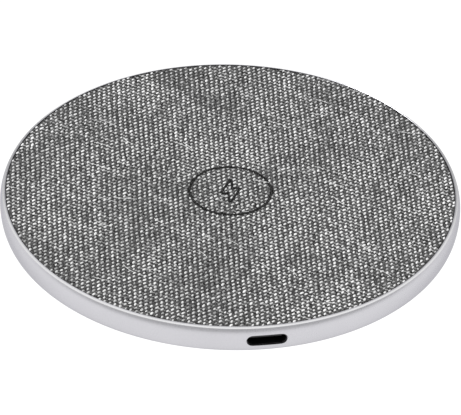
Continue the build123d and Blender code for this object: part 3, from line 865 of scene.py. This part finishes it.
def pressed_to_cloth(rule, grains):
    """Sets the grains on the cloth: flattened along the mark, lowered and held in at the edge."""
    x, y, z = rule.parts(rule.place())
    flat_place = rule.vector(x, y)
    near = rule.node("GeometryNodeProximity", {
        0: rule.source.outputs["Geometry"],
        "Sample Position": flat_place,
    }, target_element="EDGES")
    radius = rule.length(flat_place)
    half_line = rule.spread(radius, *BOLT_REGION, BOLT_LINE / 2, MARK_LINE / 2)
    share = rule.maths("DIVIDE", near.outputs["Distance"], half_line)
    flattened = rule.spread(share, *PRESS_SPAN, 1.0, 0.0, smooth=True)
    pressed = rule.maths("MULTIPLY", flattened, 2 * FLOAT_HEIGHT)
    rolled = rule.spread(radius, CLOTH_RADIUS - EDGE_ROLL, CLOTH_RADIUS, 0.0, 1.0)
    dropped = rule.maths("MULTIPLY", rule.maths("MULTIPLY", rolled, rolled), EDGE_DROP / 2)
    raised = rule.maths("ADD", z, CLOTH_TOP - FLOAT_HEIGHT)
    level = rule.maths("SUBTRACT", raised, rule.maths("ADD", pressed, dropped))
    shrink = rule.maths("DIVIDE", CLOTH_RADIUS, rule.maths("MAXIMUM", radius, TINY))
    inward = rule.maths("MINIMUM", 1.0, shrink)
    return rule.move(grains, rule.vector(
        rule.maths("MULTIPLY", x, inward),
        rule.maths("MULTIPLY", y, inward),
        level,
    ))


def woven_floats(name, material, seed, shift, grain, turn, mess_tone):
    """The raised stretches of one yarn: short grains in staggered columns, pressed down along the mark."""
    rule = Rule(name)
    seed = rule.size("Seed", seed)
    points = weave_points(rule, seed, shift, mess_tone)
    grains = laid_grains(rule, points, seed, grain, turn)
    settled = pressed_to_cloth(rule, grains)
    smooth = rule.node("GeometryNodeSetShadeSmooth", {"Geometry": settled})
    return rule.make(smooth.outputs[0], material, mark_lines())


def stray_fibres(material):
    """Loose fibre ends lying on the cloth, most of them along one slant."""
    rule = Rule("stray_fibres")
    reach = rule.size("Outer radius", CLOTH_RADIUS - 2 * FLOAT_MARGIN)
    density = rule.size("Fibres per square metre", STRAY_DENSITY)
    thickness = rule.size("Fibre radius", STRAY_RADIUS)
    seed = rule.size("Seed", STRAY_SEED)
    disc = rule.node("GeometryNodeMeshCircle", {
        "Vertices": STRAY_DISC_SIDES,
        "Radius": reach,
    }, fill_type="NGON")
    spots = rule.node("GeometryNodeDistributePointsOnFaces", {
        "Mesh": disc.outputs[0],
        "Density": density,
        "Seed": seed,
    })
    start, middle, end = STRAY_BOW
    bow = rule.node("GeometryNodeCurveQuadraticBezier", {
        "Resolution": STRAY_STEPS,
        "Start": start,
        "Middle": middle,
        "End": end,
    })
    shortest, longest = STRAY_LENGTHS
    turn = rule.random(STRAY_TURN - STRAY_TURN_SPREAD, STRAY_TURN + STRAY_TURN_SPREAD, seed, 0)
    instances = rule.node("GeometryNodeInstanceOnPoints", {
        "Points": spots.outputs[0],
        "Instance": bow.outputs[0],
        "Rotation": rule.vector(0.0, 0.0, turn),
        "Scale": rule.vector(
            rule.random(shortest, longest, seed, 1),
            rule.random(-longest, longest, seed, 2),
            longest,
        ),
    })
    realized = rule.node("GeometryNodeRealizeInstances", {"Geometry": instances.outputs[0]})
    x, y, z = rule.parts(rule.place())
    level = rule.maths("ADD", z, CLOTH_TOP - STRAY_RADIUS)
    raised = rule.move(realized.outputs[0], rule.vector(x, y, level))
    section = rule.node("GeometryNodeCurvePrimitiveCircle", {
        "Resolution": STRAY_SIDES,
        "Radius": thickness,
    })
    tube = rule.node("GeometryNodeCurveToMesh", {
        "Curve": raised,
        "Profile Curve": section.outputs[0],
        "Fill Caps": True,
    })
    toned = rule.remember(tube.outputs[0], "tone", STRAY_TONE)
    smooth = rule.node("GeometryNodeSetShadeSmooth", {"Geometry": toned})
    return rule.make(smooth.outputs[0], material)


# ---- housing ring ----
def ring_section():
    """The ring's section as (radius, height) points, up the bore, over the rim and down the outside.

    Also gives the index of the point where the bright cut starts.
    """
    top = RING_HIGH.z
    bottom = RING_LOW.z
    bore = RING_RADIUS - RIM_LEAN - RIM_CHAMFER_WIDTH
    cut_outer = RING_RADIUS - RIM_LEAN
    cut_bottom = top - RIM_CHAMFER_DROP
    widest = top - WIDEST_DROP
    rise = cut_bottom - widest
    side_radius = (rise**2 + RIM_LEAN**2) / (2 * RIM_LEAN)
    side_angle = math.asin(rise / side_radius)
    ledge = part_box("coil_adhesive")[1].z
    seat_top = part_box("foam_pad")[0].z
    under = RING_RADIUS - UNDER_ROUND_WIDTH
    seat = under - BASE_SEAT_WALL
    inner = seat - LEDGE_WIDTH
    points = [(inner, ledge), (bore, ledge), (bore, top - EDGE_BREAK), (bore + EDGE_BREAK, top)]
    plain = Vector((bore + EDGE_BREAK, top)).lerp(Vector((cut_outer, cut_bottom)), PLAIN_SHARE)
    points.append((plain.x, plain.y))
    cut_start = len(points) - 1
    for step in range(SIDE_STEPS):
        angle = side_angle * (1 - step / SIDE_STEPS)
        points.append((
            RING_RADIUS - side_radius * (1 - math.cos(angle)),
            widest + side_radius * math.sin(angle),
        ))
    for step in range(2 * SIDE_STEPS + 1):
        angle = math.pi / 2 * step / (2 * SIDE_STEPS)
        points.append((
            under + UNDER_ROUND_WIDTH * math.cos(angle),
            widest - (widest - bottom) * math.sin(angle),
        ))
    points += [(seat, bottom), (seat, seat_top), (inner, seat_top)]
    return points, cut_start


def port_middle():
    low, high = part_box("usb_tongue")
    return (low.z + high.z) / 2


def port_section(width, height):
    """Round-ended outline of the port, as (x, z) points about its middle."""
    radius = height / 2
    centre = width / 2 - radius
    outline = []
    for side in (1, -1):
        for step in range(PORT_STEPS + 1):
            angle = math.pi * step / PORT_STEPS - math.pi / 2
            outline.append((side * (centre + radius * math.cos(angle)), side * radius * math.sin(angle)))
    return outline


def port_cutter():
    """Solid that cuts the port: broken outer edge that follows the ring's side, then the straight slot."""
    middle = port_middle()
    wide = port_section(SLOT_WIDTH + 2 * SLOT_EDGE, SLOT_HEIGHT + 2 * SLOT_EDGE)
    plain = port_section(SLOT_WIDTH, SLOT_HEIGHT)
    loops = []
    for outline, depth in ((wide, -SLOT_RUN), (wide, 0), (plain, SLOT_EDGE), (plain, SLOT_RUN)):
        loops.append([
            (x, depth - math.sqrt(RING_RADIUS**2 - x**2), middle + z)
            for x, z in outline
        ])
    count = len(plain)
    mesh = bpy.data.meshes.new("port_cutter")
    faces = []
    for level in range(len(loops) - 1):
        for step in range(count):
            following = (step + 1) % count
            here = level * count
            faces.append((here + following, here + step, here + count + step, here + count + following))
    faces.append(tuple(range(count)))
    faces.append(tuple(range((len(loops) - 1) * count, len(loops) * count))[::-1])
    mesh.from_pydata([point for loop in loops for point in loop], [], faces)
    return mesh


def pocket_cutter():
    """Box that clears the receptacle behind the thin front wall."""
    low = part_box("usb_shell")[0]
    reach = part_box("usb_tongue")[1].x + POCKET_SIDE
    front = low.y - POCKET_FRONT
    back = -(RING_RADIUS - UNDER_ROUND_WIDTH - BASE_SEAT_WALL - 2 * LEDGE_WIDTH)
    bottom = low.z - POCKET_FLOOR
    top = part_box("coil_adhesive")[1].z
    mesh = bpy.data.meshes.new("pocket_cutter")
    shape = bmesh.new()
    bmesh.ops.create_cube(shape, size=1.0)
    bmesh.ops.scale(shape, vec=(2 * reach, back - front, top - bottom), verts=shape.verts)
    bmesh.ops.translate(shape, vec=(0, (front + back) / 2, (bottom + top) / 2), verts=shape.verts)
    shape.to_mesh(mesh)
    shape.free()
    return mesh


def cut_away(piece, cutter_mesh):
    """Takes a closed cutter's volume out of a piece and leaves a plain mesh."""
    cutter = link("cutter", cutter_mesh)
    modifier = piece.modifiers.new("cut", "BOOLEAN")
    modifier.operation = "DIFFERENCE"
    modifier.solver = "EXACT"
    modifier.object = cutter
    evaluated = piece.evaluated_get(bpy.context.evaluated_depsgraph_get())
    mesh = bpy.data.meshes.new_from_object(evaluated)
    piece.modifiers.clear()
    piece.data = mesh
    bpy.data.objects.remove(cutter)


def make_ring(satin, cut):
    """The ring turned from its section, bright on the rim's cut, with the pocket and the port cut out."""
    section, cut_start = ring_section()
    count = len(section)
    points = []
    for step in range(RING_SEGMENTS):
        turn = 2 * math.pi * (step + 0.5) / RING_SEGMENTS
        points += [(r * math.cos(turn), r * math.sin(turn), z) for r, z in section]
    mesh = bpy.data.meshes.new("metal_ring")
    mesh.from_pydata(points, [], swept_faces(0, RING_SEGMENTS, count))
    mesh.materials.append(satin)
    mesh.materials.append(cut)
    for polygon in mesh.polygons:
        polygon.material_index = int(polygon.index % count == cut_start)
    ring = link("metal_ring", mesh)
    cut_away(ring, pocket_cutter())
    cut_away(ring, port_cutter())
    ring.data.shade_smooth()
    ring.data.set_sharp_from_angle(angle=SHARP_ANGLE)
    return ring


# ---- room ----
def make_floor():
    """A wide lit table, a little below the foot."""
    mesh = bpy.data.meshes.new("floor")
    half = FLOOR_SIZE / 2
    corners = [(-half, -half), (half, -half), (half, half), (-half, half)]
    mesh.from_pydata([(x, y, -FLOOR_DROP) for x, y in corners], [], [(0, 1, 2, 3)])
    floor = link("floor", mesh)
    lit = Finish("lit_table", FLOOR_COLOUR, 0.9)
    parts = lit.nodes.new("ShaderNodeSeparateXYZ")
    lit.links.new(lit.coords, parts.inputs[0])
    glow = lit.spread(parts.outputs["Y"], *FLOOR_FRONT, FLOOR_GLOW_FRONT, FLOOR_GLOW)
    lit.shader.inputs["Emission Color"].default_value = (1, 1, 1, 1)
    lit.links.new(glow, lit.shader.inputs["Emission Strength"])
    paint(floor, lit.material)


def make_sky():
    """Soft light from all round, brightest overhead."""
    world = bpy.data.worlds.new("room")
    bpy.context.scene.world = world
    world.use_nodes = True
    nodes = world.node_tree.nodes
    links = world.node_tree.links
    direction = nodes.new("ShaderNodeTexCoord").outputs["Generated"]
    parts = nodes.new("ShaderNodeSeparateXYZ")
    links.new(direction, parts.inputs[0])
    stops = [(place, (level, level, level)) for place, level in SKY]
    background = nodes["Background"]
    links.new(colour_ramp(world.node_tree, parts.outputs["Z"], stops), background.inputs["Color"])
    background.inputs["Strength"].default_value = SKY_STRENGTH


def soft_light(name, place, size, watts):
    """A round lamp aimed at the middle of the pad."""
    data = bpy.data.lights.new(name, "AREA")
    data.shape = "DISK"
    data.size = size
    data.energy = watts
    light = bpy.data.objects.new(name, data)
    light.location = place
    light.rotation_euler = (-Vector(place)).to_track_quat("-Z", "Y").to_euler()
    light.visible_camera = False
    bpy.context.scene.collection.objects.link(light)


# ---- put together ----
make_camera()
make_floor()
make_sky()
soft_light("side_key", SIDE_LIGHT_PLACE, SIDE_LIGHT_SIZE, SIDE_LIGHT_WATTS)

ring = make_ring(satin_metal(), cut_metal())
finish_piece(ring, "ring_metal", "housing_ring")

cloth = make_cloth(cloth_ground_and_gap_shade())
light_yarn = yarn("light_yarn", LIGHT_STOPS, heather_share=0.55)
light_floats = woven_floats(
    "light_floats", light_yarn, LIGHT_SEED, LIGHT_SHIFT, LIGHT_GRAIN, LIGHT_TURN, LIGHT_MESS_TONE
)
dark_yarn = yarn("dark_yarn", DARK_STOPS, heather_share=0.4)
dark_floats = woven_floats(
    "dark_floats", dark_yarn, DARK_SEED, DARK_SHIFT, DARK_GRAIN, DARK_TURN, DARK_MESS_TONE
)
fibres = stray_fibres(yarn("stray_yarn", LIGHT_STOPS, heather_share=0.2))
pressed = pressed_lines(pressed_yarn_and_edge_shade())
finish_piece(cloth, "cover_fabric", "fabric_cover")
for part in (light_floats, dark_floats, fibres, pressed):
    finish_piece(part, "cover_fabric")

# Each plain finish: name, colour, roughness, and the scale and depth of its grain.
FINISHES = {
    "casing_plastic": spark_grained_plastic(),
    "adhesive_film": moulded("adhesive_film", (0.55, 0.53, 0.47), 0.35, 900, 0.002 * MM),
    "screw_steel": moulded("screw_steel", (0.16, 0.16, 0.17), 0.35, 6000, 0.003 * MM, metallic=1.0),
    "foot_rubber": silicone(),
    "coil_copper": copper_wire(),
    "ferrite": moulded("ferrite", (0.05, 0.05, 0.055), 0.6, 2500, 0.01 * MM),
    "foam": moulded("foam", (0.03, 0.03, 0.03), 0.95, 1800, 0.1 * MM),
    "sensor_epoxy": moulded("sensor_epoxy", BLACK, 0.3, 2000, 0.005 * MM),
    "board_laminate": board_mask(),
    "connector_steel": moulded(
        "connector_steel", (0.08, 0.08, 0.085), 0.4, 5000, 0.002 * MM, metallic=1.0
    ),
    "connector_plastic": moulded("connector_plastic", BLACK, 0.5, 5000, 0.004 * MM),
    "contact_gold": moulded("contact_gold", (0.4, 0.3, 0.12), 0.35, 6000, 0.001 * MM, metallic=1.0),
    "chip_epoxy": moulded("chip_epoxy", (0.025, 0.025, 0.027), 0.55, 7000, 0.004 * MM),
    "inductor_powder": moulded("inductor_powder", (0.1, 0.1, 0.105), 0.7, 5000, 0.01 * MM),
    "capacitor_ceramic": moulded("capacitor_ceramic", (0.42, 0.3, 0.19), 0.5, 6000, 0.003 * MM),
    "tinned_ends": moulded("tinned_ends", (0.72, 0.72, 0.7), 0.3, 4000, 0.004 * MM, metallic=1.0),
}
SLOTS = {entry["node"]: entry["material_slot"] for entry in frame["record"]["subparts"]}
for node_name, node in NODES.items():
    if SLOTS[node_name] in FINISHES:
        paint(node, FINISHES[SLOTS[node_name]])

bpy.context.scene.view_settings.view_transform = "Standard"
